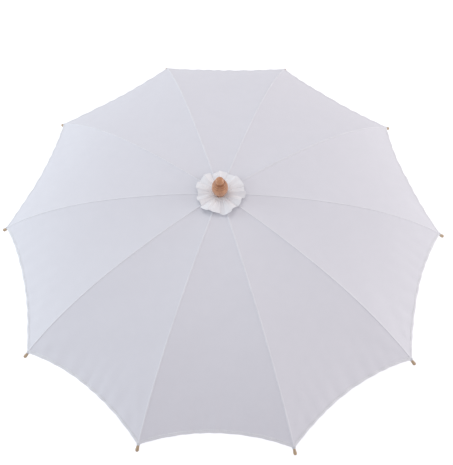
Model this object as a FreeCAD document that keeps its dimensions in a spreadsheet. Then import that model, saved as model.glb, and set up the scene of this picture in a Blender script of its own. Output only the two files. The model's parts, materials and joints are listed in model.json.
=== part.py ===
import FreeCAD, Part
import math
import os
import re
import Sketcher

# A ten-rib parasol, open. Millimetres, +Z up along the shaft, origin under the handle.
# Rib 1 lies over +X and the others follow every 36 degrees.
# The sheet's numbers drive every sketch and feature below.

DIMENSIONS = [
    ("rib_count", 10, "ribs, stretchers, tips and panels"),
    ("rib_spacing", 36, "degrees between ribs"),
    # shaft and handle
    ("shaft_radius", 6, "wooden shaft"),
    ("shaft_bottom", 20, "shaft end inside the handle"),
    ("shaft_top", 650, "shaft end inside the finial"),
    ("grip_radius", 11, "straight part of the handle"),
    ("grip_top", 66, "where the straight part ends"),
    ("bead_radius", 13.5, "turned bead above the grip"),
    ("handle_top", 140, "upper end of the handle"),
    # crown
    ("pivot_radius", 10, "rib hinges, from the shaft's axis"),
    ("pivot_height", 632, "rib hinges, above the handle's end"),
    ("notch_radius", 13.5, "flange of the crown notch"),
    ("notch_hub", 8, "collar below the flange"),
    ("notch_bottom", 612, "lower end of the collar"),
    ("notch_seat", 629, "underside of the flange"),
    ("notch_top", 633.9, "top of the flange"),
    ("slot_width", 1.8, "slots of the notch and the runner"),
    ("slot_floor", 8.2, "inner end of the notch's slots"),
    ("wire_radius", 0.6, "wire ring through the ribs' eyes"),
    ("wire_play", 0.05, "room round the wire in the notch"),
    # ribs
    ("crown_slope", 1.0, "degrees down at the crown"),
    ("joint_slope", 16.4, "degrees down at the stretcher joint"),
    ("rim_slope", 41.1, "degrees down from the tip's start"),
    ("crown_bend", 765, "bend radius from crown to joint"),
    ("rim_bend", 512.4, "bend radius from joint to tip"),
    ("rib_width", 2.4, "across the rib"),
    ("rib_depth", 3.2, "height of the rib"),
    ("eye_width", 1.2, "flattened ends"),
    ("eye_radius", 1.5, "flattened ends, round the hole"),
    ("eye_hole", 0.75, "hole for the wire"),
    ("boss_radius", 2.25, "rib's boss and stretcher's ears"),
    ("rivet_radius", 1.0, "rivet of the stretcher joint"),
    ("rivet_play", 0.05, "room round the rivet in the rib"),
    ("tenon_radius", 1.0, "rib's end inside its tip"),
    ("tenon_length", 12, "rib's end inside its tip"),
    ("tip_radius", 2.4, "wooden tip, under the cloth's corner"),
    ("tip_knob", 3.1, "wooden tip, at its end"),
    ("tip_length", 23, "wooden tip"),
    # stretchers
    ("fork_gap", 3.0, "between the two ears"),
    ("fork_width", 5.0, "over the two ears"),
    ("fork_length", 19, "ears and the block that joins them"),
    ("fork_clear", 14.5, "open length of the fork"),
    ("bar_width", 2.6, "stretcher bar"),
    ("bar_depth", 3.0, "stretcher bar"),
    ("blade_length", 7, "flattened foot"),
    # runner, drawn where it stands when the parasol is open
    ("foot_radius", 12, "stretcher feet, from the shaft's axis"),
    ("foot_height", 507.1, "stretcher feet, above the handle's end"),
    ("bore_play", 0.1, "runner on the shaft"),
    ("sleeve_radius", 9, "outside of the runner's sleeve"),
    ("sleeve_drop", 50, "sleeve below the feet"),
    ("flange_radius", 15, "slotted flange of the runner"),
    ("runner_slot_floor", 10.2, "inner end of the runner's slots"),
    # spring catches
    ("catch_width", 1.8, "steel catches"),
    ("catch_slot", 2.6, "slots in the shaft for the catches"),
    ("catch_pin_radius", 0.8, "pins the catches turn on"),
    ("top_catch_pin", 430, "height of the upper catch's pin"),
    ("low_catch_pin", 196.6, "height of the lower catch's pin"),
    ("catch_reach", 26.8, "from the pin to the catching edge"),
    ("catch_out", 8.8, "catching corner, from the shaft's axis"),
    # cover
    ("panel_lift", 2.6, "underside of the cloth over the ribs' centre lines"),
    ("panel_thick", 0.6, "cloth with its seams"),
    ("panel_crown_slope", 1.05, "same slopes, halfway between two ribs"),
    ("panel_joint_slope", 17.2, "same slopes, halfway between two ribs"),
    ("panel_rim_slope", 42.5, "same slopes, halfway between two ribs"),
    ("panel_crown_bend", 694.8, "bend radius halfway between two ribs"),
    ("panel_rim_bend", 481.1, "bend radius halfway between two ribs"),
    ("panel_hole", 11, "inner edge of the panels"),
    ("panel_corner", 412.3, "hem corner on the rib, from the shaft's axis"),
    ("hem_radius", 448, "inward curve of each panel's hem, seen from above"),
    ("seam_gap", 0.16, "from each half panel to its neighbour's middle plane"),
    ("rosette_radius", 40, "ruffled collar under the finial"),
    ("rosette_hole", 8.2, "its centre hole"),
    ("cap_radius", 16, "cloth washer over the notch"),
]

doc = FreeCAD.newDocument("parasol")
dims = doc.addObject("Spreadsheet::Sheet", "dims")
for row, (alias, value, note) in enumerate(DIMENSIONS, start=1):
    dims.set(f"A{row}", str(value))
    dims.setAlias(f"A{row}", alias)
    dims.set(f"B{row}", note)
doc.recompute()
ALIASES = {alias for alias, _, _ in DIMENSIONS}


def bound(text):
    """An expression in sheet names, written for setExpression."""
    return re.sub(r"[a-z_]+", lambda m: "dims." + m[0] if m[0] in ALIASES else m[0], text)


def number(text):
    """What an expression in sheet names comes to."""
    value = dims.evalExpression(bound(text))
    return float(getattr(value, "Value", value))


def drive(thing, **sizes):
    """Binds properties to expressions in sheet names."""
    for name, text in sizes.items():
        thing.setExpression(name, bound(text))


# ---------------------------------------------------------------- sketches

def sketch_on(body, role, name, offset=None):
    """A sketch on one of the body's own origin planes; offset is (x, y, turn) within it."""
    sketch = body.newObject("Sketcher::SketchObject", name)
    plane = next(o for o in body.Origin.OriginFeatures if o.Role == role)
    sketch.AttachmentSupport = [(plane, "")]
    sketch.MapMode = "FlatFace"
    if offset:
        shift_x, shift_y, turn = offset
        sketch.AttachmentOffset = FreeCAD.Placement(
            FreeCAD.Vector(number(shift_x), number(shift_y), 0),
            FreeCAD.Rotation(FreeCAD.Vector(0, 0, 1), number(turn)))
        sketch.setExpression("AttachmentOffset.Base.x", bound(shift_x))
        sketch.setExpression("AttachmentOffset.Base.y", bound(shift_y))
        sketch.setExpression("AttachmentOffset.Rotation.Angle", bound(turn))
    return sketch


def arc_through(start, end, radius):
    """The short arc, drawn anticlockwise as sketches keep it. Its centre is right of the way from
    start to end, or left of it for a negative radius."""
    chord = end - start
    side = FreeCAD.Vector(chord.y, -chord.x, 0).normalize()
    if radius < 0:
        side = side * -1
    rise = math.sqrt(max(radius ** 2 - (chord.Length / 2) ** 2, 0))
    centre = (start + end) * 0.5 + side * rise
    crest = centre - side * abs(radius)
    return Part.Arc(end, crest, start) if radius > 0 else Part.Arc(start, crest, end)


def outline(sketch, points):
    """A closed outline. Each point is (x, y), reached by a line, or (x, y, radius), reached by an
    arc. Every coordinate and radius is an expression, and each becomes a bound constraint."""
    spots = [FreeCAD.Vector(number(p[0]), number(p[1]), 0) for p in points]
    first = len(sketch.Geometry)
    count = len(points)
    for i in range(count):
        goal = points[(i + 1) % count]
        start = spots[i]
        end = spots[(i + 1) % count]
        if len(goal) == 3:
            sketch.addGeometry(arc_through(start, end, number(goal[2])))
        else:
            sketch.addGeometry(Part.LineSegment(start, end))
    heads = []
    for i in range(count):
        edge = sketch.Geometry[first + i]
        forward = edge.StartPoint.distanceToPoint(spots[i]) < 1e-6
        heads.append((1, 2) if forward else (2, 1))
    for i in range(count):
        follower = (i + 1) % count
        sketch.addConstraint(Sketcher.Constraint(
            "Coincident", first + i, heads[i][1], first + follower, heads[follower][0]))
    for i, point in enumerate(points):
        for kind, text in (("DistanceX", point[0]), ("DistanceY", point[1])):
            index = sketch.addConstraint(
                Sketcher.Constraint(kind, first + i, heads[i][0], number(text)))
            sketch.setExpression(f"Constraints[{index}]", bound(text))
        if len(point) == 3:
            before = first + (i - 1) % count
            index = sketch.addConstraint(
                Sketcher.Constraint("Radius", before, abs(number(point[2]))))
            sketch.setExpression(f"Constraints[{index}]", bound(f"abs({point[2]})"))
    return sketch


def circle(sketch, x, y, radius):
    centre = FreeCAD.Vector(number(x), number(y), 0)
    index = sketch.addGeometry(
        Part.Circle(centre, FreeCAD.Vector(0, 0, 1), number(radius)))
    for kind, text in (("DistanceX", x), ("DistanceY", y)):
        at = sketch.addConstraint(Sketcher.Constraint(kind, index, 3, number(text)))
        sketch.setExpression(f"Constraints[{at}]", bound(text))
    at = sketch.addConstraint(Sketcher.Constraint("Radius", index, number(radius)))
    sketch.setExpression(f"Constraints[{at}]", bound(radius))
    return sketch


# ---------------------------------------------------------------- features

def new_body(name):
    body = doc.addObject("PartDesign::Body", name)
    body.Label = name
    return body


def revolve(body, points, name="turned", offset=None, axis="V_Axis"):
    sketch = outline(sketch_on(body, "XZ_Plane", f"{body.Name}_{name}", offset), points)
    feature = body.newObject("PartDesign::Revolution", f"{body.Name}_{name}_solid")
    feature.Profile = sketch
    feature.ReferenceAxis = (sketch, [axis])
    feature.Angle = 360
    doc.recompute()
    return feature


def pad(body, sketch, width):
    """A pad as thick as width, half on each side of the sketch."""
    feature = body.newObject("PartDesign::Pad", f"{sketch.Name}_pad")
    feature.Profile = sketch
    feature.Midplane = True
    drive(feature, Length=width)
    doc.recompute()
    return feature


def pocket(body, sketch, width):
    """A cut as wide as width, half on each side of the sketch. It has to remove something."""
    before = body.Shape.Volume
    feature = body.newObject("PartDesign::Pocket", f"{sketch.Name}_cut")
    feature.Profile = sketch
    feature.Midplane = True
    drive(feature, Length=width)
    doc.recompute()
    if body.Shape.Volume > before - 1e-3:
        raise RuntimeError(f"{sketch.Name} cuts nothing")
    return feature


def slots_all_round(body, feature):
    """Repeats a cut once for each rib."""
    pattern = body.newObject("PartDesign::PolarPattern", f"{feature.Name}_ring")
    pattern.Originals = [feature]
    sketch = feature.Profile[0]
    pattern.Axis = (sketch, ["N_Axis"])
    pattern.Angle = 360
    drive(pattern, Occurrences="rib_count")
    body.Tip = pattern
    doc.recompute()
    return pattern


def rectangle(x_low, x_high, y_low, y_high):
    return [(x_low, y_low), (x_high, y_low), (x_high, y_high), (x_low, y_high)]


def gather(name, pieces, turns=None):
    """A node made of finished solids, turned about the shaft by a number of rib spacings."""
    node = doc.addObject("Part::Compound", name)
    node.Label = name
    node.Links = pieces
    if turns is not None:
        node.Placement = FreeCAD.Placement(
            FreeCAD.Vector(), FreeCAD.Rotation(FreeCAD.Vector(0, 0, 1), number(turns)))
        node.setExpression("Placement.Rotation.Angle", bound(turns))
    return node


nodes = []

# ---------------------------------------------------------------- the ribs' centre line
# Two arcs that meet at the stretcher joint, then a straight end that carries the tip.

INNER_X = "(pivot_radius - crown_bend * sin(crown_slope))"
INNER_Z = "(pivot_height - crown_bend * cos(crown_slope))"
JOINT_X = f"({INNER_X} + crown_bend * sin(joint_slope))"
JOINT_Z = f"({INNER_Z} + crown_bend * cos(joint_slope))"
OUTER_X = f"({JOINT_X} - rim_bend * sin(joint_slope))"
OUTER_Z = f"({JOINT_Z} - rim_bend * cos(joint_slope))"
TIP_X = f"({OUTER_X} + rim_bend * sin(rim_slope))"
TIP_Z = f"({OUTER_Z} + rim_bend * cos(rim_slope))"


def on_inner(slope, off):
    """A point off the crown half of the centre line, where it slopes by so many degrees."""
    return (f"{INNER_X} + (crown_bend + {off}) * sin({slope})",
            f"{INNER_Z} + (crown_bend + {off}) * cos({slope})")


def on_outer(slope, off):
    return (f"{OUTER_X} + (rim_bend + {off}) * sin({slope})",
            f"{OUTER_Z} + (rim_bend + {off}) * cos({slope})")


# ---------------------------------------------------------------- shaft, handle, crown

shaft = new_body("shaft")
revolve(shaft, [("0", "shaft_bottom"), ("shaft_radius", "shaft_bottom"),
                ("shaft_radius", "shaft_top"), ("0", "shaft_top")])
top_slot = outline(sketch_on(shaft, "XZ_Plane", "top_catch_slot"), rectangle(
    "-1.5", "shaft_radius + 2", "top_catch_pin - 3", "top_catch_pin + catch_reach + 2.2"))
pocket(shaft, top_slot, "catch_slot")
low_slot = outline(sketch_on(shaft, "XZ_Plane", "low_catch_slot"), rectangle(
    "-1.5", "shaft_radius + 2", "low_catch_pin - catch_reach - 2.2", "low_catch_pin + 3"))
pocket(shaft, low_slot, "catch_slot")

CROSS_PINS = [
    ("3", "top_catch_pin", "catch_pin_radius", "9"),
    ("3", "low_catch_pin", "catch_pin_radius", "9"),
    ("0", "pivot_height - 12", "0.8", "2 * notch_hub"),
    ("0", "foot_height + 7.2", "1.0", "20"),
]
pin_holes = sketch_on(shaft, "XZ_Plane", "pin_holes")
for x, z, radius, _ in CROSS_PINS:
    circle(pin_holes, x, z, radius)
pocket(shaft, pin_holes, "30")
nodes.append(shaft)

handle = new_body("handle")
revolve(handle, [
    ("0", "0"),
    ("grip_radius - 2", "0"),
    ("grip_radius", "2", "-2"),
    ("grip_radius", "grip_top"),
    ("grip_radius - 1.4", "grip_top + 2"),
    ("bead_radius - 1", "grip_top + 4"),
    ("bead_radius - 1", "grip_top + 9", "-3"),
    ("grip_radius - 1.6", "grip_top + 11"),
    ("grip_radius - 3.4", "grip_top + 27", "24"),
    ("grip_radius - 1", "grip_top + 45", "40"),
    ("grip_radius - 2.6", "handle_top - 8", "-28"),
    ("shaft_radius + 2.6", "handle_top - 5"),
    ("shaft_radius + 2.6", "handle_top - 1.2"),
    ("shaft_radius + 1.4", "handle_top", "-1.4"),
    ("shaft_radius", "handle_top"),
    ("shaft_radius", "shaft_bottom"),
    ("0", "shaft_bottom"),
])
nodes.append(handle)

notch = new_body("notch")
revolve(notch, [
    ("shaft_radius", "notch_bottom"),
    ("notch_hub", "notch_bottom"),
    ("notch_hub", "notch_seat"),
    ("notch_radius", "notch_seat"),
    ("notch_radius", "notch_top"),
    ("shaft_radius", "notch_top"),
])
notch_slot = outline(sketch_on(notch, "XY_Plane", "notch_slot"), rectangle(
    "slot_floor", "notch_radius + 2", "-slot_width / 2", "slot_width / 2"))
slots_all_round(notch, pocket(notch, notch_slot, "2 * notch_top + 10"))
notch_pin = circle(sketch_on(notch, "XZ_Plane", "notch_pin"), "0", "pivot_height - 12", "0.8")
pocket(notch, notch_pin, "30")
groove_sketch = circle(sketch_on(notch, "XZ_Plane", "wire_groove"),
                       "pivot_radius", "pivot_height", "wire_radius + wire_play")
before_groove = notch.Shape.Volume
groove = notch.newObject("PartDesign::Groove", "wire_groove_cut")
groove.Profile = groove_sketch
groove.ReferenceAxis = (groove_sketch, ["V_Axis"])
groove.Angle = 360
doc.recompute()
if notch.Shape.Volume > before_groove - 1:
    raise RuntimeError("the wire's groove cuts nothing")

wire = doc.addObject("Part::Torus", "crown_wire")
drive(wire, Radius1="pivot_radius", Radius2="wire_radius")
wire.Placement.Base = FreeCAD.Vector(0, 0, number("pivot_height"))
wire.setExpression("Placement.Base.z", bound("pivot_height"))
nodes.append(gather("crown_notch", [notch, wire]))

pins = []
for i, (x, z, radius, length) in enumerate(CROSS_PINS):
    pin = doc.addObject("Part::Cylinder", f"pin_{i + 1}")
    drive(pin, Radius=radius, Height=length)
    pin.Placement = FreeCAD.Placement(
        FreeCAD.Vector(number(x), number(length) / 2, number(z)),
        FreeCAD.Rotation(FreeCAD.Vector(1, 0, 0), 90))
    pin.setExpression("Placement.Base.y", bound(f"({length}) / 2"))
    pin.setExpression("Placement.Base.z", bound(z))
    pins.append(pin)
nodes.append(gather("cross_pins", pins))

cap = new_body("inner_cap")
revolve(cap, rectangle("shaft_radius", "cap_radius", "notch_top + 0.05", "notch_top + 0.55"))
nodes.append(cap)

rosette = new_body("rosette")
revolve(rosette, [
    ("rosette_hole", "notch_top + 1.8"),
    ("rosette_radius - 0.5", "notch_top + 1.0"),
    ("rosette_radius", "notch_top + 3.4"),
    ("rosette_radius - 9", "notch_top + 7.6", "-14"),
    ("rosette_hole + 5", "notch_top + 8.4"),
    ("rosette_hole", "notch_top + 5.4"),
])
nodes.append(rosette)

finial = new_body("finial")
revolve(finial, [
    ("shaft_radius", "notch_top + 0.55"),
    ("8", "notch_top + 0.55"),
    ("8", "shaft_top - 10.5"),
    ("11.4", "shaft_top + 16.3", "-24.6"),
    ("10.0", "shaft_top + 17.2"),
    ("10.0", "shaft_top + 19.4", "-1.3"),
    ("8.6", "shaft_top + 20.2"),
    ("8.6", "shaft_top + 22.0", "-1.1"),
    ("6.4", "shaft_top + 26 - sqrt(7.4 ^ 2 - 6.4 ^ 2)"),
    ("0", "shaft_top + 33.4", "-7.4"),
    ("0", "shaft_top"),
    ("shaft_radius", "shaft_top"),
])
nodes.append(finial)

# ---------------------------------------------------------------- rib and tip, drawn over +X

rib = new_body("rib")
HALF = "rib_depth / 2"
EYE_END = "crown_slope + 0.56"
BAR_START = "crown_slope + 0.52"

blade = outline(sketch_on(rib, "XZ_Plane", "rib_blade"), [
    on_inner("crown_slope", "eye_radius"),
    on_inner(EYE_END, "eye_radius") + ("crown_bend + eye_radius",),
    on_inner(EYE_END, "-eye_radius"),
    on_inner("crown_slope", "-eye_radius") + ("eye_radius - crown_bend",),
])
pad(rib, blade, "eye_width")
eye = circle(sketch_on(rib, "XZ_Plane", "rib_eye"), "pivot_radius", "pivot_height", "eye_radius")
pad(rib, eye, "eye_width")
bar = outline(sketch_on(rib, "XZ_Plane", "rib_bar"), [
    on_inner(BAR_START, HALF),
    on_inner("joint_slope", HALF) + (f"crown_bend + {HALF}",),
    on_outer("rim_slope", HALF) + (f"rim_bend + {HALF}",),
    on_outer("rim_slope", f"-{HALF}"),
    on_inner("joint_slope", f"-{HALF}") + (f"{HALF} - rim_bend",),
    on_inner(BAR_START, f"-{HALF}") + (f"{HALF} - crown_bend",),
])
pad(rib, bar, "rib_width")
boss = circle(sketch_on(rib, "XZ_Plane", "rib_boss"), JOINT_X, JOINT_Z, "boss_radius")
pad(rib, boss, "rib_width")
revolve(rib, rectangle("-2", "tenon_length", "0", "tenon_radius"), "tenon",
        (TIP_X, TIP_Z, "-rim_slope"), "H_Axis")
eye_hole = circle(sketch_on(rib, "XZ_Plane", "rib_eye_hole"),
                  "pivot_radius", "pivot_height", "eye_hole")
pocket(rib, eye_hole, "10")
joint_hole = circle(sketch_on(rib, "XZ_Plane", "rib_joint_hole"),
                    JOINT_X, JOINT_Z, "rivet_radius + rivet_play")
pocket(rib, joint_hole, "10")

tip = new_body("tip")
revolve(tip, [
    ("0", "tenon_radius"),
    ("0", "tip_radius - 0.5"),
    ("1.2", "tip_radius"),
    ("9.6", "tip_radius"),
    ("10", "tip_radius - 0.3"),
    ("10.4", "tip_radius"),
    ("12", "tip_radius"),
    ("tip_length - 5", "tip_knob"),
    ("tip_length - 2.8", "tip_knob"),
    ("tip_length", "0", "(2.8 ^ 2 + tip_knob ^ 2) / 5.6"),
    ("tenon_length", "0"),
    ("tenon_length", "tenon_radius"),
], "wood", (TIP_X, TIP_Z, "-rim_slope"), "H_Axis")

# ---------------------------------------------------------------- stretcher, drawn over +X
# It runs from the rib's joint down to the runner. Its own x axis starts at the joint.

RISE = f"({JOINT_Z} - foot_height)"
RUN = f"({JOINT_X} - foot_radius)"
SPAN = f"sqrt({RISE} ^ 2 + {RUN} ^ 2)"
TURN = f"180 deg + atan2({RISE}; {RUN})"
ALONG = (JOINT_X, JOINT_Z, TURN)

stretcher = new_body("stretcher")
ears = outline(sketch_on(stretcher, "XZ_Plane", "fork", ALONG), rectangle(
    "0", "fork_length", "-boss_radius", "boss_radius"))
pad(stretcher, ears, "fork_width")
ear_round = circle(sketch_on(stretcher, "XZ_Plane", "fork_end", ALONG), "0", "0", "boss_radius")
pad(stretcher, ear_round, "fork_width")
gap = outline(sketch_on(stretcher, "XZ_Plane", "fork_gap", ALONG), rectangle(
    "-5", "fork_clear", "-5", "5"))
pocket(stretcher, gap, "fork_gap")
stick = outline(sketch_on(stretcher, "XZ_Plane", "stretcher_bar", ALONG), rectangle(
    "fork_length - 2", f"{SPAN} - blade_length", "-bar_depth / 2", "bar_depth / 2"))
pad(stretcher, stick, "bar_width")
foot_blade = outline(sketch_on(stretcher, "XZ_Plane", "foot_blade", ALONG), rectangle(
    f"{SPAN} - blade_length - 2", SPAN, "-eye_radius", "eye_radius"))
pad(stretcher, foot_blade, "eye_width")
foot_eye = circle(sketch_on(stretcher, "XZ_Plane", "foot_eye", ALONG), SPAN, "0", "eye_radius")
pad(stretcher, foot_eye, "eye_width")
ear_hole = circle(sketch_on(stretcher, "XZ_Plane", "ear_hole", ALONG), "0", "0", "rivet_radius")
pocket(stretcher, ear_hole, "20")
foot_hole = circle(sketch_on(stretcher, "XZ_Plane", "foot_hole", ALONG), SPAN, "0", "eye_hole")
pocket(stretcher, foot_hole, "20")

rivet = new_body("rivet")
rivet_pin = circle(sketch_on(rivet, "XZ_Plane", "rivet_pin"), JOINT_X, JOINT_Z, "rivet_radius")
pad(rivet, rivet_pin, "fork_width")
for side in (-1, 1):
    head = circle(sketch_on(rivet, "XZ_Plane", f"rivet_head_{side + 2}"),
                  JOINT_X, JOINT_Z, "rivet_radius + 0.8")
    head.AttachmentOffset = FreeCAD.Placement(
        FreeCAD.Vector(0, 0, side * (number("fork_width") / 2 + 0.3)), FreeCAD.Rotation())
    head.setExpression("AttachmentOffset.Base.z", bound(f"{side} * (fork_width / 2 + 0.3)"))
    pad(rivet, head, "0.6")

# ---------------------------------------------------------------- runner

runner = new_body("runner")
revolve(runner, [
    ("shaft_radius + bore_play", "foot_height - sleeve_drop"),
    ("sleeve_radius - 0.6", "foot_height - sleeve_drop"),
    ("sleeve_radius", "foot_height - sleeve_drop + 0.6"),
    ("sleeve_radius", "foot_height - sleeve_drop + 4"),
    ("sleeve_radius - 0.5", "foot_height - sleeve_drop + 5"),
    ("sleeve_radius - 0.5", "foot_height - 12"),
    ("flange_radius - 1", "foot_height - 4", "9"),
    ("flange_radius", "foot_height - 3", "-1"),
    ("flange_radius", "foot_height + 3"),
    ("flange_radius - 1", "foot_height + 4", "-1"),
    ("sleeve_radius", "foot_height + 6"),
    ("shaft_radius + bore_play", "foot_height + 6"),
])
runner_slot = outline(sketch_on(runner, "XY_Plane", "runner_slot"), rectangle(
    "runner_slot_floor", "flange_radius + 2", "-slot_width / 2", "slot_width / 2"))
slots_all_round(runner, pocket(runner, runner_slot, "2 * foot_height + 40"))
window = outline(sketch_on(runner, "XZ_Plane", "catch_window"), rectangle(
    "shaft_radius - 1", "sleeve_radius + 2", "foot_height - 45.8", "foot_height - 22"))
pocket(runner, window, "3")
nodes.append(runner)

# ---------------------------------------------------------------- spring catches


def catch(name, pin_height, way):
    """A flat steel catch on its pin; way is 1 with its catching edge up and -1 with it down."""
    def up(distance):
        return f"{pin_height} + {way} * ({distance})"

    body = new_body(name)
    shape = outline(sketch_on(body, "XZ_Plane", f"{name}_plate"), [
        ("1.2", up("-1.5")),
        ("4.8", up("-1.5")),
        ("5.4", up("2")),
        ("catch_out", up("catch_reach")),
        ("2.2", up("catch_reach")),
        ("1.2", up("2")),
    ])
    pad(body, shape, "catch_width")
    hole = circle(sketch_on(body, "XZ_Plane", f"{name}_hole"),
                  "3", pin_height, "catch_pin_radius + 0.05")
    pocket(body, hole, "10")
    return body


nodes.append(catch("top_catch", "top_catch_pin", 1))
nodes.append(catch("bottom_catch", "low_catch_pin", -1))

# ---------------------------------------------------------------- cover
# Each panel is a strip that is straight across, from rib to rib. Drawn with its middle over +X,
# it is the slab under the panel's curve, cut to the panel's outline as seen from above. It is in
# two halves, one sewn to each rib, and they fold against each other when the ribs come together.

MID = "cos(rib_spacing / 2)"
SLANT = "tan(rib_spacing / 2)"
P_IN_X = f"(pivot_radius * {MID} - panel_crown_bend * sin(panel_crown_slope))"
P_IN_Z = "(pivot_height - panel_crown_bend * cos(panel_crown_slope))"
P_OUT_X = f"({P_IN_X} + (panel_crown_bend - panel_rim_bend) * sin(panel_joint_slope))"
P_OUT_Z = f"({P_IN_Z} + (panel_crown_bend - panel_rim_bend) * cos(panel_joint_slope))"
LOW = "panel_lift"
HIGH = "panel_lift + panel_thick"
PAST = 16


def panel_inner(slope, off):
    return (f"{P_IN_X} + (panel_crown_bend + {off}) * sin({slope})",
            f"{P_IN_Z} + (panel_crown_bend + {off}) * cos({slope})")


def panel_outer(slope, off, beyond=0):
    """A point of the rim half, or that far straight beyond its end."""
    return (f"{P_OUT_X} + (panel_rim_bend + {off}) * sin({slope}) + {beyond} * cos({slope})",
            f"{P_OUT_Z} + (panel_rim_bend + {off}) * cos({slope}) - {beyond} * sin({slope})")


def loose_sketch(name, rotation):
    sketch = doc.addObject("Sketcher::SketchObject", name)
    sketch.Placement = FreeCAD.Placement(FreeCAD.Vector(), rotation)
    return sketch


def extrude(sketch, length, both_ways):
    solid = doc.addObject("Part::Extrusion", f"{sketch.Name}_solid")
    solid.Base = sketch
    solid.DirMode = "Normal"
    solid.Solid = True
    solid.Symmetric = both_ways
    drive(solid, LengthFwd=length)
    return solid


UPRIGHT = FreeCAD.Rotation(FreeCAD.Vector(1, 0, 0), 90)
slab = extrude(outline(loose_sketch("panel_curve", UPRIGHT), [
    panel_inner("panel_crown_slope", HIGH),
    panel_inner("panel_joint_slope", HIGH) + (f"panel_crown_bend + {HIGH}",),
    panel_outer("panel_rim_slope", HIGH) + (f"panel_rim_bend + {HIGH}",),
    panel_outer("panel_rim_slope", HIGH, PAST),
    panel_outer("panel_rim_slope", LOW, PAST),
    panel_outer("panel_rim_slope", LOW),
    panel_inner("panel_joint_slope", LOW) + (f"-panel_rim_bend - {LOW}",),
    panel_inner("panel_crown_slope", LOW) + (f"-panel_crown_bend - {LOW}",),
]), "300", True)

CORNER_X = f"(panel_corner * {MID})"
CORNER_Y = "(panel_corner * sin(rib_spacing / 2) - seam_gap)"
HEM_CENTRE = f"({CORNER_X} + sqrt(hem_radius ^ 2 - {CORNER_Y} ^ 2))"
HEM_MIDDLE = f"({HEM_CENTRE} - sqrt(hem_radius ^ 2 - seam_gap ^ 2))"
HOLE_X = f"(panel_hole * {MID})"

half_panels = {}
for side, way in (("left", -1), ("right", 1)):
    plan = outline(loose_sketch(f"panel_plan_{side}", FreeCAD.Rotation()), [
        (HOLE_X, f"{way} * seam_gap"),
        (HEM_MIDDLE, f"{way} * seam_gap"),
        (CORNER_X, f"{way} * {CORNER_Y}", f"{way} * hem_radius"),
        (HOLE_X, f"{way} * (panel_hole * sin(rib_spacing / 2) - seam_gap)"),
    ])
    half = doc.addObject("Part::Common", f"panel_{side}")
    half.Base = slab
    half.Tool = extrude(plan, "pivot_height + 60", False)
    half_panels[side] = half

# ---------------------------------------------------------------- ten of each

for k in range(int(number("rib_count"))):
    turn = f"{k} * rib_spacing"
    middle = f"({k} + 0.5) * rib_spacing"
    nodes.append(gather(f"rib_{k + 1:02d}", [rib], turn))
    nodes.append(gather(f"rib_tip_{k + 1:02d}", [tip], turn))
    nodes.append(gather(f"stretcher_{k + 1:02d}", [stretcher, rivet], turn))
    for side in ("left", "right"):
        nodes.append(gather(f"panel_{k + 1:02d}_{side}", [half_panels[side]], middle))

# ---------------------------------------------------------------- check and write

doc.recompute()
for item in doc.Objects:
    if "Invalid" in item.State or "Error" in item.State:
        raise RuntimeError(f"{item.Name} failed: {item.State}")
for node in nodes:
    shape = node.Shape
    if shape.isNull() or not shape.isValid() or not shape.Solids:
        raise RuntimeError(f"{node.Label} is not a valid solid")

os.makedirs("parts", exist_ok=True)
for node in nodes:
    node.Shape.exportStep(f"parts/{node.Label}.step")
print(f"{len(nodes)} nodes written")
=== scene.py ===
"""Looks of the open white cotton parasol: cloth, seams, ruffle, wood and metal.

Floor, light and camera come last.
"""

import json
import math
import random

import bpy
import numpy as np
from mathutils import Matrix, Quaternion, Vector


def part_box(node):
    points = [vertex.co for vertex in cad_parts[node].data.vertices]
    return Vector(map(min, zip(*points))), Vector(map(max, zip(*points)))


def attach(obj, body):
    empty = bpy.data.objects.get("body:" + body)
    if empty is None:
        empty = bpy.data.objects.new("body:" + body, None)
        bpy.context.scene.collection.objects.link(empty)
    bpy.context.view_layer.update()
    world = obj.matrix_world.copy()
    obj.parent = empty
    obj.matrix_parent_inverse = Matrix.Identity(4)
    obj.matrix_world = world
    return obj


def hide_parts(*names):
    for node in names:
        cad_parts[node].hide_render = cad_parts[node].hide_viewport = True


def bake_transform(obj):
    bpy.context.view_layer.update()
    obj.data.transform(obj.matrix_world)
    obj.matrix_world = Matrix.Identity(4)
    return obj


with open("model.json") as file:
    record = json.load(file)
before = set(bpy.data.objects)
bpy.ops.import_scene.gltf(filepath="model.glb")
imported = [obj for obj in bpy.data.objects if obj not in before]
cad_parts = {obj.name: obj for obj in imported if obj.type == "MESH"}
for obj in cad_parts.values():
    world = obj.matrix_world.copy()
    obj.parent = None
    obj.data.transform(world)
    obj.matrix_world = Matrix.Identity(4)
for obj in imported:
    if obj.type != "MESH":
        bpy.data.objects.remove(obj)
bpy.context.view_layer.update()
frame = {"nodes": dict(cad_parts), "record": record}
NODES = frame["nodes"]
random.seed(7)

MM = 0.001
RIBS = 10
SPACING = 360 / RIBS  # degrees between ribs
HALF_GORE = math.radians(SPACING / 2)

# The rib's centre line, in its own plane, in millimetres and degrees: the same numbers as the part.
CROWN = (10.0, 632.0)
CROWN_SLOPE, JOINT_SLOPE, RIM_SLOPE = (math.radians(a) for a in (1.0, 16.4, 41.1))
CROWN_BEND, RIM_BEND = 765.0, 512.4
INNER = (CROWN[0] - CROWN_BEND * math.sin(CROWN_SLOPE), CROWN[1] - CROWN_BEND * math.cos(CROWN_SLOPE))
JOINT = (INNER[0] + CROWN_BEND * math.sin(JOINT_SLOPE), INNER[1] + CROWN_BEND * math.cos(JOINT_SLOPE))
OUTER = (JOINT[0] - RIM_BEND * math.sin(JOINT_SLOPE), JOINT[1] - RIM_BEND * math.cos(JOINT_SLOPE))

CLOTH_LIFT = 2.9  # middle of the cloth over the rib's centre line
CLOTH = 0.5  # thickness
CLOTH_START = 11.0  # radius of the hole at the crown
CORNER = 412.3  # radius of the hem's corners, on the ribs
HEM_CENTRE, HEM_BEND = 821.6, 448.0  # hem's arc, seen from above

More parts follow.
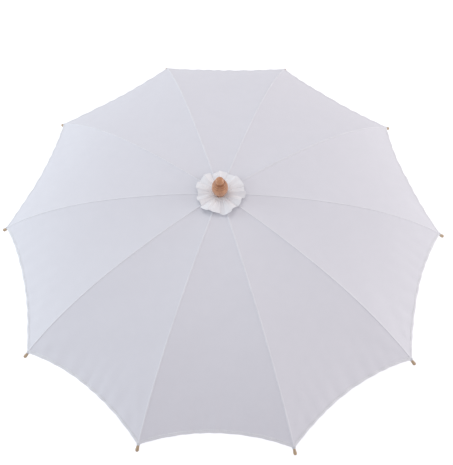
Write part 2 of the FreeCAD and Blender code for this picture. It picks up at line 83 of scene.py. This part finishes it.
# Hem: outline of the flat roll, as inward from the edge and up from the cloth, and its stitches.
HEM_ROLL = [(-0.5, 0.1), (-0.3, 0.6), (0.4, 0.8), (2.6, 0.75), (4.0, 0.7), (4.5, 0.2),
            (4.4, -0.9), (2.4, -1.05), (0.4, -0.95), (-0.3, -0.6)]
HEM_PITCH, HEM_STITCH, HEM_STITCH_IN = 3.3, 2.1, 3.3
STITCH_HIGH = (0.6, 1.12)

# Thread ties: where along the rib, and the loop's half width, bottom and top about the centre line.
TIE_RADII = (96, 168, 262, 334)
TIE_LOOP, TIE_TURNS = (1.75, -2.1, 2.75), 3
TIP_TIE_LOOP, TIP_TIE_TURNS = (3.0, -2.75, 3.65), 5
TIE_PITCH, TIE_THREAD = 0.75, 0.34


def rib_azimuth(rib):
    return math.radians(SPACING * (rib - 1))


def gore_azimuth(panel):
    """Azimuth of a panel's middle line."""
    return math.radians(SPACING * (panel - 1) + SPACING / 2)


def rib_beside(panel, side):
    """The rib a half panel is sewn to: the panel's own rib for side -1, the next one for side +1."""
    return panel if side < 0 else panel % RIBS + 1


def line_at(r, lift):
    """Height and downward slope at radius r of the line that runs lift above the rib's centre line."""
    r = np.asarray(r, float)
    a, b = CROWN_BEND + lift, RIM_BEND + lift
    joint_r = INNER[0] + a * math.sin(JOINT_SLOPE)
    end_r = OUTER[0] + b * math.sin(RIM_SLOPE)
    end_z = OUTER[1] + b * math.cos(RIM_SLOPE)
    first = np.arcsin(np.clip((r - INNER[0]) / a, -1, 1))
    second = np.arcsin(np.clip((r - OUTER[0]) / b, -1, 1))
    z = np.where(r < joint_r, INNER[1] + a * np.cos(first), OUTER[1] + b * np.cos(second))
    slope = np.where(r < joint_r, first, second)
    z = np.where(r > end_r, end_z - (r - end_r) * math.tan(RIM_SLOPE), z)
    return z, np.where(r > end_r, RIM_SLOPE, slope)


def cloth_point(x, y, above, turn):
    """Points on a gore: x out along its middle, y across it, above off the cloth's middle surface.

    turn is the gore's azimuth.
    """
    z, slope = line_at(x / math.cos(HALF_GORE), CLOTH_LIFT)
    tilt = np.arctan(np.tan(slope) / math.cos(HALF_GORE))
    px, pz = x + above * np.sin(tilt), z + above * np.cos(tilt)
    c, s = math.cos(turn), math.sin(turn)
    return np.stack([px * c - y * s, px * s + y * c, pz], -1) * MM


def rib_point(r, aside, lift, turn):
    """Points in a rib's frame: out along it, aside from its plane, lift above its centre line."""
    z, slope = line_at(r, 0.0)
    px, pz = r + lift * np.sin(slope), z + lift * np.cos(slope)
    c, s = math.cos(turn), math.sin(turn)
    return np.stack([px * c - aside * s, px * s + aside * c, pz], -1) * MM


def hem_x(spread):
    """Where the line y = spread * x meets the hem."""
    m = 1 + spread * spread
    return (HEM_CENTRE - np.sqrt(HEM_CENTRE**2 - m * (HEM_CENTRE**2 - HEM_BEND**2))) / m


def sag(x, y, gore):
    """How far the cloth stands off the straight surface between two ribs.

    It has a slight hollow, and soft folds from the hem and the corners.
    """
    reach = x * math.tan(HALF_GORE)
    v = np.clip(np.abs(y) / np.maximum(reach, 1e-6), 0, 1)
    t = np.clip(x / (CORNER * math.cos(HALF_GORE)), 0, 1)
    to_hem = np.hypot(x - HEM_CENTRE, y) - HEM_BEND
    hollow = -2.6 * (1 - v**2) * np.sin(math.pi * t**0.85)
    p = gore * 1.7
    free = 1 - v**6
    folds = 0.55 * np.exp(-np.maximum(to_hem, 0) / 34) * np.sin(y / 4.1 + 1.3 * np.sin(y / 23 + p) + p)
    corner = np.hypot(x - CORNER * math.cos(HALF_GORE), np.abs(y) - CORNER * math.sin(HALF_GORE))
    angle = np.arctan2(
        CORNER * math.sin(HALF_GORE) - np.abs(y), CORNER * math.cos(HALF_GORE) - x)
    near_corner = 0.7 * np.exp(-corner / 75) * (1 - np.exp(-corner / 12))
    pulls = near_corner * np.sin(angle * 13 + p * 2 + np.sign(y))
    swell = 0.5 * np.sin(x / 31 + p) * np.sin(y / 37 + 1 + p * 0.6) + 0.3 * np.sin(x / 17 + y / 21 + p * 3)
    return hollow + free * (folds + pulls + swell * (0.35 + 0.65 * t))


def mesh_object(name, points, faces, material, smooth=True, second=None, second_from=None):
    """A mesh from points in metres. Faces from number second_from on take the second material."""
    mesh = bpy.data.meshes.new(name)
    mesh.from_pydata([tuple(p) for p in points], [], faces)
    mesh.materials.append(material)
    if second is not None:
        mesh.materials.append(second)
        index = np.zeros(len(faces), np.int32)
        index[second_from:] = 1
        mesh.polygons.foreach_set("material_index", index)
    mesh.polygons.foreach_set("use_smooth", np.full(len(faces), smooth))
    mesh.update()
    obj = bpy.data.objects.new(name, mesh)
    bpy.context.scene.collection.objects.link(obj)
    return obj


def sharpen(obj, limit=40):
    """Edges where faces meet at more than limit degrees stay crisp."""
    obj.data.set_sharp_from_angle(angle=math.radians(limit))
    return obj


def shell(top, bottom):
    """Closed skin between two grids of points: points and faces."""
    n, m = top.shape[:2]
    points = np.concatenate([top.reshape(-1, 3), bottom.reshape(-1, 3)])
    low = n * m
    faces = []
    for i in range(n - 1):
        for j in range(m - 1):
            a, b, c, d = i * m + j, (i + 1) * m + j, (i + 1) * m + j + 1, i * m + j + 1
            faces.append((a, b, c, d))
            faces.append((low + d, low + c, low + b, low + a))
    for i in range(n - 1):
        for j, flip in ((0, False), (m - 1, True)):
            a, b = i * m + j, (i + 1) * m + j
            side = (a, low + a, low + b, b)
            faces.append(side[::-1] if flip else side)
    for j in range(m - 1):
        for i, flip in ((0, True), (n - 1, False)):
            a, b = i * m + j, i * m + j + 1
            side = (a, low + a, low + b, b)
            faces.append(side[::-1] if flip else side)
    return points, faces


def loft(rings, closed_ends=True):
    """Skin over a row of closed rings, each an array of the same number of points."""
    rings = np.asarray(rings)
    n, m = rings.shape[:2]
    faces = []
    for i in range(n - 1):
        for j in range(m):
            k = (j + 1) % m
            faces.append((i * m + j, i * m + k, (i + 1) * m + k, (i + 1) * m + j))
    if closed_ends:
        faces.append(tuple(range(m))[::-1])
        faces.append(tuple((n - 1) * m + j for j in range(m)))
    return rings.reshape(-1, 3), faces


def dashes(place, starts, length, width, low, high):
    """Small blocks of thread. place(along, across, up) gives points in metres."""
    points, faces = [], []
    for s in starts:
        k = len(points)
        for a in (s, s + length * 0.5, s + length):
            rise = high if a == s + length * 0.5 else (low + high) / 2
            for w, h in ((-width / 2, low), (width / 2, low), (width / 2, rise), (-width / 2, rise)):
                points.append(place(a, w, h))
        for i in range(2):
            for j in range(4):
                a, b = k + i * 4 + j, k + i * 4 + (j + 1) % 4
                faces.append((a, b, b + 4, a + 4))
        faces.append((k + 3, k + 2, k + 1, k))
        faces.append((k + 8, k + 9, k + 10, k + 11))
    return np.array(points).reshape(-1, 3), faces


def joined(first, second):
    """Two (points, faces) as one, and the number of the second one's first face."""
    shift = len(first[0])
    faces = list(first[1]) + [tuple(i + shift for i in f) for f in second[1]]
    return np.concatenate([first[0], second[0]]), faces, len(first[1])


# ---------------------------------------------------------------- materials


def new_material(name, colour, rough):
    """A Principled material and its nodes."""
    mat = bpy.data.materials.new(name)
    mat.use_nodes = True
    tree = mat.node_tree
    shader = tree.nodes["Principled BSDF"]
    shader.inputs["Base Color"].default_value = (*colour, 1)
    shader.inputs["Roughness"].default_value = rough
    return mat, tree, shader


def add(tree, kind, **values):
    node = tree.nodes.new(kind)
    for key, value in values.items():
        if key in node.inputs:
            node.inputs[key].default_value = value
        else:
            setattr(node, key, value)
    return node


def coordinates(tree, stretch):
    """Object coordinates, scaled."""
    where = add(tree, "ShaderNodeTexCoord")
    scale = add(tree, "ShaderNodeMapping")
    scale.inputs["Scale"].default_value = stretch
    tree.links.new(where.outputs["Object"], scale.inputs["Vector"])
    return scale.outputs["Vector"]


def two_tone(tree, shader, fac, dark, light):
    """Base colour between two colours."""
    ramp = add(tree, "ShaderNodeValToRGB")
    ramp.color_ramp.elements[0].color = (*dark, 1)
    ramp.color_ramp.elements[1].color = (*light, 1)
    ramp.color_ramp.elements[0].position = 0.3
    ramp.color_ramp.elements[1].position = 0.7
    tree.links.new(fac, ramp.inputs["Fac"])
    tree.links.new(ramp.outputs["Color"], shader.inputs["Base Color"])


def bumped(tree, shader, height, strength, depth):
    bump = add(tree, "ShaderNodeBump")
    bump.inputs["Strength"].default_value = strength
    bump.inputs["Distance"].default_value = depth
    tree.links.new(height, bump.inputs["Height"])
    tree.links.new(bump.outputs["Normal"], shader.inputs["Normal"])


def cotton(name, dark, light, weave=0.5):
    """Plain-weave cotton: threads both ways and soft slubs."""
    mat, tree, shader = new_material(name, light, 0.9)
    at = coordinates(tree, (1, 1, 1))
    slub = add(tree, "ShaderNodeTexNoise", Scale=55.0, Detail=4.0, Roughness=0.6)
    tree.links.new(at, slub.inputs["Vector"])
    two_tone(tree, shader, slub.outputs["Fac"], dark, light)
    threads = []
    for way in ("X", "Y"):
        wave = add(tree, "ShaderNodeTexWave", Scale=520.0, Distortion=0.6)
        wave.inputs["Detail"].default_value = 1.0
        wave.bands_direction = way
        tree.links.new(at, wave.inputs["Vector"])
        threads.append(wave.outputs["Fac"])
    both = add(tree, "ShaderNodeMath", operation="ADD")
    tree.links.new(threads[0], both.inputs[0])
    tree.links.new(threads[1], both.inputs[1])
    rough = add(tree, "ShaderNodeTexNoise", Scale=160.0, Detail=3.0)
    tree.links.new(at, rough.inputs["Vector"])
    total = add(tree, "ShaderNodeMath", operation="ADD")
    tree.links.new(both.outputs[0], total.inputs[0])
    tree.links.new(rough.outputs["Fac"], total.inputs[1])
    bumped(tree, shader, total.outputs[0], weave, 0.00012)
    shader.inputs["Sheen Weight"].default_value = 0.25
    shader.inputs["Sheen Roughness"].default_value = 0.5
    shader.inputs["Specular IOR Level"].default_value = 0.2
    return mat


def turned(name, dark, light, stretch, coat=0.35, coat_rough=0.22):
    """Varnished turned wood with long grain."""
    mat, tree, shader = new_material(name, light, 0.42)
    at = coordinates(tree, stretch)
    grain = add(tree, "ShaderNodeTexNoise", Scale=1.0, Detail=6.0, Roughness=0.62, Distortion=0.4)
    tree.links.new(at, grain.inputs["Vector"])
    two_tone(tree, shader, grain.outputs["Fac"], dark, light)
    bumped(tree, shader, grain.outputs["Fac"], 0.12, 0.0004)
    shader.inputs["Coat Weight"].default_value = coat
    shader.inputs["Coat Roughness"].default_value = coat_rough
    return mat


def painted_groove_shade(mat, heights, half_width, colour):
    """Painted shade: dark lines round a turned piece at the given heights, standing in for the shade in its
    grooves.
    """
    tree = mat.node_tree
    shader = tree.nodes["Principled BSDF"]
    wood = shader.inputs["Base Color"].links[0].from_socket
    split = add(tree, "ShaderNodeSeparateXYZ")
    tree.links.new(add(tree, "ShaderNodeTexCoord").outputs["Object"], split.inputs[0])
    strongest = None
    for height in heights:
        offset = add(tree, "ShaderNodeMath", operation="SUBTRACT")
        tree.links.new(split.outputs["Z"], offset.inputs[0])
        offset.inputs[1].default_value = height
        distance = add(tree, "ShaderNodeMath", operation="ABSOLUTE")
        tree.links.new(offset.outputs[0], distance.inputs[0])
        fade = add(tree, "ShaderNodeMapRange")
        fade.inputs["From Min"].default_value = half_width
        fade.inputs["From Max"].default_value = half_width * 0.3
        tree.links.new(distance.outputs[0], fade.inputs["Value"])
        line = fade.outputs[0]
        if strongest is not None:
            larger = add(tree, "ShaderNodeMath", operation="MAXIMUM")
            tree.links.new(strongest, larger.inputs[0])
            tree.links.new(line, larger.inputs[1])
            line = larger.outputs[0]
        strongest = line
    mix = add(tree, "ShaderNodeMix", data_type="RGBA")
    tree.links.new(strongest, mix.inputs[0])
    tree.links.new(wood, mix.inputs[6])
    mix.inputs[7].default_value = (*colour, 1)
    tree.links.new(mix.outputs[2], shader.inputs["Base Color"])


def plain(name, dark, light, rough, metallic=0.0, grain=120.0, bump=0.03):
    """Paint, plastic or metal with fine unevenness."""
    mat, tree, shader = new_material(name, light, rough)
    at = coordinates(tree, (1, 1, 1))
    noise = add(tree, "ShaderNodeTexNoise", Scale=grain, Detail=3.0)
    tree.links.new(at, noise.inputs["Vector"])
    two_tone(tree, shader, noise.outputs["Fac"], dark, light)
    bumped(tree, shader, noise.outputs["Fac"], bump, 0.0003)
    shader.inputs["Metallic"].default_value = metallic
    return mat


COTTON = cotton("cotton", (0.752, 0.748, 0.786), (0.765, 0.760, 0.798), 0.35)
# Painted light: the hem's cotton is lighter than the panels', for the light on the hem's rolled edge. The
# seam allowances take the same lightened cotton.
HEM_COTTON_PAINTED_LIGHT = cotton("hem_cotton_painted_light", (0.78, 0.78, 0.80), (0.85, 0.85, 0.87), 0.6)
SEAM_COTTON = cotton("seam_cotton", (0.78, 0.78, 0.81), (0.83, 0.83, 0.86), 0.5)
RUFFLE_COTTON = cotton("ruffle_cotton", (0.88, 0.885, 0.90), (0.93, 0.935, 0.95), 0.5)
THREAD = plain("thread", (0.60, 0.61, 0.63), (0.74, 0.75, 0.77), 0.85)
MATERIALS = {
    "cotton": COTTON,
    "rosette_cotton": RUFFLE_COTTON,
    "turned_wood": turned("finial_wood", (0.42, 0.17, 0.075), (0.66, 0.33, 0.16), (190, 190, 42),
                          0.7, 0.12),
    "tip_wood": turned("tip_wood", (0.42, 0.29, 0.17), (0.56, 0.42, 0.27), (120, 120, 120), 0.2),
    "shaft_wood": turned("shaft_wood", (0.46, 0.25, 0.12), (0.60, 0.36, 0.19), (220, 220, 12)),
    "handle_wood": turned("handle_wood", (0.40, 0.20, 0.09), (0.55, 0.30, 0.145), (150, 150, 14), 0.5),
    "rib_metal": plain("rib_enamel", (0.76, 0.76, 0.75), (0.82, 0.82, 0.81), 0.35),
    "runner_plastic": plain("runner_plastic", (0.74, 0.735, 0.71), (0.80, 0.795, 0.77), 0.5),
    "spring_steel": plain("spring_steel", (0.50, 0.50, 0.52), (0.66, 0.66, 0.68), 0.28, 1.0, 400.0),
}

finial_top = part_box("finial")[1][2]
RING_DEPTHS, RING_HALF_WIDTH = (18.6, 14.6, 11.8), 0.75  # below the finial's top
# Painted shade: darker rings in the finial's colour where its turned grooves are.
painted_groove_shade(MATERIALS["turned_wood"], [finial_top - depth * MM for depth in RING_DEPTHS],
            RING_HALF_WIDTH * MM, (0.33, 0.135, 0.06))

slot_of = {row["node"]: row["material_slot"] for row in frame["record"]["subparts"]}
for node_name, node in NODES.items():
    node.data.materials.clear()
    finish = "tip_wood" if node_name.startswith("rib_tip") else slot_of[node_name]
    node.data.materials.append(MATERIALS[finish])


# -------------------------------------------------------------------- canopy


def gore_half(panel, side):
    """One half of a panel's cloth, with its hem. side is -1 beside the panel's own rib, else +1."""
    half = "left" if side < 0 else "right"
    name = f"panel_{panel:02d}_{half}"
    gore = gore_azimuth(panel)
    across, along = 22, 84
    u = np.linspace(0, 1, across + 1)
    spread = (1 - u) * math.tan(HALF_GORE)
    start = CLOTH_START * math.cos(HALF_GORE)
    t = np.linspace(0, 1, along + 1)
    x = start + t[:, None] * (hem_x(spread)[None, :] - start)
    y = side * x * spread[None, :]
    h = sag(x, y, panel)
    order = slice(None) if side < 0 else slice(None, None, -1)
    top = cloth_point(x, y, h + CLOTH / 2, gore)[:, order]
    bottom = cloth_point(x, y, h - CLOTH / 2, gore)[:, order]
    cloth = sharpen(mesh_object(f"cloth_{panel:02d}_{half}", *shell(top, bottom), COTTON))

    # Hem: the edge turned under twice, as a flat roll, and its row of stitches.
    count = 64
    top_angle = math.asin(CORNER * math.sin(HALF_GORE) / HEM_BEND)
    pucker = np.array([random.uniform(-1, 1) for _ in range(count + 1)])
    pucker[0] = pucker[-1] = 0

    def on_hem(angle, inward, up):
        """A point on the hem: angle from the gore's middle, inward from the edge, up from the cloth."""
        px = HEM_CENTRE - (HEM_BEND + inward) * math.cos(angle)
        py = side * (HEM_BEND + inward) * math.sin(angle)
        limit = px * math.tan(HALF_GORE)
        py = max(-limit, min(limit, py))
        px, py = np.array(px), np.array(py)
        return cloth_point(px, py, up + float(sag(px, py, panel)), gore)

    rings = []
    for i in range(count + 1):
        angle = top_angle * (1 - i / count)
        bulge = 0.18 * pucker[i]
        ring = [on_hem(angle, a * (1 + 0.06 * pucker[i] * (a > 1)), b + bulge * (0.5 if b < 0 else 1))
                for a, b in HEM_ROLL]
        rings.append(ring if side < 0 else ring[::-1])
    pitch = HEM_PITCH / HEM_BEND
    starts = np.arange(1.2 / HEM_BEND, top_angle - pitch, pitch)
    stitches = dashes(lambda a, w, up: on_hem(a, HEM_STITCH_IN + w, up), starts,
                      HEM_STITCH / HEM_BEND, 0.55, *STITCH_HIGH)
    points, faces, second = joined(loft(rings), stitches)
    # The hem takes the lightened cotton: painted light on its rolled edge.
    hem = mesh_object(f"hem_{panel:02d}_{half}", points, faces, HEM_COTTON_PAINTED_LIGHT, True, THREAD, second)
    sharpen(hem, 50)

    for piece in (cloth, hem):
        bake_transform(piece)
    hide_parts(name)
    return cloth, hem


halves = {}
for panel in range(1, RIBS + 1):
    for side in (-1, 1):
        halves[panel, side] = gore_half(panel, side)


def seam_of(rib):
    """What is sewn along one rib.

    The ridge on top, the allowances underneath with their stitches, and the threads round the
    rib and its tip.
    """
    turn = rib_azimuth(rib)
    radii = np.linspace(CLOTH_START + 1, CORNER - 1.5, 190)
    wobble = np.array([random.uniform(-1, 1) for _ in radii])
    wobble = (wobble + np.roll(wobble, 1)) / 2
    rings = []
    for r, w in zip(radii, wobble):
        wide, high = 1.3 + 0.12 * w, 0.62 + 0.12 * w
        base = CLOTH_LIFT + CLOTH / 2
        outline = [(-wide, -0.25), (-wide, 0.25), (-wide * 0.72, high * 0.8), (0, high),
                   (wide * 0.72, high * 0.8), (wide, 0.25), (wide, -0.25)]
        rings.append([rib_point(np.array(r), a, base + b - abs(a) * 0.06, turn) for a, b in outline])
    ridge = sharpen(mesh_object(f"seam_{rib:02d}", *loft(rings), SEAM_COTTON), 60)

    def beside(way, r, a, up):
        """A point a to one side of the rib's plane, up from the cloth's middle surface."""
        panel = rib if way > 0 else (rib - 2) % RIBS + 1
        x = np.array(r * math.cos(HALF_GORE) + a * math.sin(HALF_GORE))
        y = np.array(-way * (r * math.sin(HALF_GORE) - a * math.cos(HALF_GORE)))
        return cloth_point(x, y, sag(x, y, panel) + up, turn + way * HALF_GORE)

    parts = None
    for way in (-1, 1):
        rings = []
        for r, w in zip(radii[18:-4], wobble[18:-4]):
            near, far = 2.8, min(7.4, 0.17 * r) + 0.35 * w
            corners = ((near, -0.2), (far, -0.2), (far, -0.75), (near, -0.75))
            rows = [beside(way, r, a, up) for a, up in corners]
            rings.append(rows if way < 0 else rows[::-1])
        strip = loft(rings)
        parts = strip if parts is None else joined(parts, strip)[:2]
    starts = np.arange(54, 400, 3.4)
    rows = [dashes(lambda r, w, up, way=way: beside(way, r, 4.6 + w, -up), starts, 2.2, 0.5, 0.6, 1.05)
            for way in (-1, 1)]
    thread = joined(*rows)[:2]
    points, faces, second = joined(parts, thread)
    allowance = mesh_object(f"seam_allowance_{rib:02d}", points, faces, HEM_COTTON_PAINTED_LIGHT, True, THREAD, second)
    sharpen(allowance, 50)

    # Threads: turns round the rib and into the seam at each tie, and round the tip over the corner.
    ties = None
    places = [(r0, TIE_LOOP, TIE_TURNS) for r0 in TIE_RADII] + [(CORNER - 4.2, TIP_TIE_LOOP, TIP_TIE_TURNS)]
    for r0, (wide, low, high), turn_count in places:
        for i in range(turn_count):
            r = r0 + TIE_PITCH * i
            rings = []
            for j in range(20):
                a = 2 * math.pi * j / 20
                cy, cz = wide * math.cos(a), (low + high) / 2 + (high - low) / 2 * math.sin(a)
                ring = []
                for k in range(6):
                    b = 2 * math.pi * k / 6
                    out = TIE_THREAD * math.cos(b)
                    along = np.array(r + TIE_THREAD * math.sin(b))
                    ring.append(rib_point(along, cy + out * math.cos(a), cz + out * math.sin(a), turn))
                rings.append(ring)
            rings.append(rings[0])
            turns = loft(rings, False)
            ties = turns if ties is None else joined(ties, turns)[:2]
    ties = mesh_object(f"rib_threads_{rib:02d}", *ties, THREAD)
    for piece in (ridge, allowance, ties):
        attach(piece, f"rib_{rib:02d}")
    return ridge, allowance, ties


seams = {rib: seam_of(rib) for rib in range(1, RIBS + 1)}
for (panel, side), (cloth, hem) in halves.items():
    rib = rib_beside(panel, side)
    sewn = [hem]
    if side < 0:
        sewn += list(seams[rib])


# ------------------------------------------------------------------- rosette


def ruffle(name, inner, outer, base, rise, folds, phase):
    """A gathered ring of cloth: fine gathers at its centre, deep irregular waves at its edge."""
    around, out = 520, 26
    theta = np.linspace(0, 2 * math.pi, around, endpoint=False)
    rho = np.linspace(0, 1, out)
    bend = (theta * folds + 1.15 * np.sin(2 * theta + phase) + 0.8 * np.sin(3 * theta + 2.1 * phase)
            + 0.35 * np.sin(5 * theta + phase))
    size = 0.82 + 0.18 * np.sin(3 * theta + 1.7 * phase) + 0.12 * np.sin(4 * theta - phase)
    edge = (1 + 0.035 * np.sin(3 * theta + phase) + 0.03 * np.sin(5 * theta + 2 * phase)
            + 0.045 * np.cos(bend))
    grow = rho[:, None] ** 1.25
    fine = np.clip(rho[:, None] / 0.08, 0, 1) * (1 - 0.85 * np.clip((rho[:, None] - 0.1) / 0.6, 0, 1))
    swing = 0.20 / folds * 9 * grow * np.sin(2 * bend)[None, :] * 0.55 * size[None, :]
    angle = theta[None, :] + swing * 0.62
    r = inner + rho[:, None] * (outer - inner) * edge[None, :]
    wave = (0.5 + 0.5 * np.sin(bend))[None, :] * size[None, :]
    z = (base + 0.9 * np.sin(math.pi * rho[:, None]) + rise * grow * wave
         + 0.8 * fine * np.sin(46 * theta + 1.5 * np.sin(3 * theta))[None, :]
         + 0.7 * grow * np.sin(23 * theta + 2.5 * rho[:, None] + phase + np.sin(4 * theta)))
    droop = -1.2 * np.clip((rho[:, None] - 0.8) / 0.2, 0, 1) ** 2 * wave
    middle = np.stack([r * np.cos(angle), r * np.sin(angle), z + droop], -1)
    wrap = np.concatenate([middle[:, -1:], middle, middle[:, :1]], 1)
    du = np.gradient(wrap, axis=0)[:, 1:-1]
    dv = (wrap[:, 2:] - wrap[:, :-2]) / 2
    normal = np.cross(du, dv)
    normal /= np.linalg.norm(normal, axis=-1, keepdims=True)
    layers = [middle + normal * 0.25, middle - normal * 0.25]
    points = np.concatenate([p.reshape(-1, 3) for p in layers]) * MM
    low = around * out
    faces = []
    for i in range(out - 1):
        for j in range(around):
            k = (j + 1) % around
            a, b, c, d = i * around + j, (i + 1) * around + j, (i + 1) * around + k, i * around + k
            faces += [(a, b, c, d), (low + d, low + c, low + b, low + a)]
    for j in range(around):
        k = (j + 1) % around
        last = (out - 1) * around
        faces += [(j, k, low + k, low + j), (last + k, last + j, low + last + j, low + last + k)]
    obj = sharpen(mesh_object(name, points, faces, RUFFLE_COTTON))
    rim = middle[-1]
    lengths = [float(np.linalg.norm(line - np.roll(line, 1, 0), axis=1).sum()) for line in (rim, middle[2])]
    width = float(np.linalg.norm(np.diff(middle, axis=0), axis=-1).sum(0).mean())
    return obj, rim, lengths, width


def tube(name, line, radius, material):
    """A thin rolled edge along a closed line, in millimetres."""
    ahead = np.roll(line, -1, 0) - np.roll(line, 1, 0)
    ahead /= np.linalg.norm(ahead, axis=1, keepdims=True)
    side = np.cross(ahead, (0, 0, 1.0))
    side /= np.linalg.norm(side, axis=1, keepdims=True)
    up = np.cross(side, ahead)
    corners = np.linspace(0, 2 * math.pi, 6, endpoint=False)
    rings = []
    for p, s, n in zip(line, side, up):
        rings.append([(p + radius * (math.cos(a) * s + math.sin(a) * n)) * MM for a in corners])
    rings.append(rings[0])
    return mesh_object(name, *loft(rings, False), material)


frill, frill_rim, (rim_length, gathered_length), frill_width = ruffle(
    "rosette_ruffle", inner=8.6, outer=40.5, base=636.8, rise=9.0, folds=9, phase=0.6)
frill_edge = tube("rosette_edge", frill_rim, 0.45, RUFFLE_COTTON)
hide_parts("rosette")
for piece in (frill, frill_edge):
    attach(piece, "frame")


# ------------------------------------------------------ floor, light, camera

bpy.ops.mesh.primitive_plane_add(size=12, location=(0, 0, -0.0005))
floor = bpy.context.object
floor.name = "floor"
floor_mat, _, floor_shader = new_material("floor", (0.93, 0.93, 0.94), 0.9)
floor_shader.inputs["Emission Color"].default_value = (1, 1, 1, 1)
floor_shader.inputs["Emission Strength"].default_value = 0.25
floor.data.materials.append(floor_mat)

world = bpy.data.worlds.new("studio")
bpy.context.scene.world = world
world.use_nodes = True
world.node_tree.nodes["Background"].inputs["Color"].default_value = (0.93, 0.91, 0.97, 1)
world.node_tree.nodes["Background"].inputs["Strength"].default_value = 0.68


def area_light(name, place, size, power, colour, aim=(0, 0, 0.55)):
    light = bpy.data.lights.new(name, "AREA")
    light.shape, light.size, light.energy, light.color = "DISK", size, power, colour
    obj = bpy.data.objects.new(name, light)
    obj.location = place
    obj.rotation_mode = "QUATERNION"
    obj.rotation_quaternion = (Vector(aim) - Vector(place)).to_track_quat("-Z", "Y")
    bpy.context.scene.collection.objects.link(obj)


area_light("key", (-0.7, 1.3, 2.6), 1.5, 10, (1.0, 0.99, 0.97))
area_light("left", (-2.4, 0.1, 1.3), 1.4, 18, (0.76, 0.94, 1.0))
area_light("right", (2.4, 0.1, 1.3), 1.4, 18, (1.0, 0.97, 0.93))

RIM_MIDDLE = Vector((0, 0, 0.482))
CAMERA_DISTANCE, ROLL = 1.210, math.radians(-2.04)
azimuth, elevation = math.radians(3.16), math.radians(63.93)
level = math.cos(elevation)
back = Vector((math.sin(azimuth) * level, -math.cos(azimuth) * level, math.sin(elevation)))
lens = bpy.data.cameras.new("camera")
camera = bpy.data.objects.new("camera", lens)
bpy.context.scene.collection.objects.link(camera)
bpy.context.scene.camera = camera
lens.lens, lens.sensor_width = 48.83, 36
lens.shift_x, lens.shift_y = 0.0107, 0.0013
camera.location = RIM_MIDDLE + back * CAMERA_DISTANCE
camera.rotation_mode = "QUATERNION"
roll = Quaternion((0, 0, 1), ROLL)
camera.rotation_quaternion = (-back).to_track_quat("-Z", "Y") @ roll
bpy.context.scene.view_settings.view_transform = "Standard"
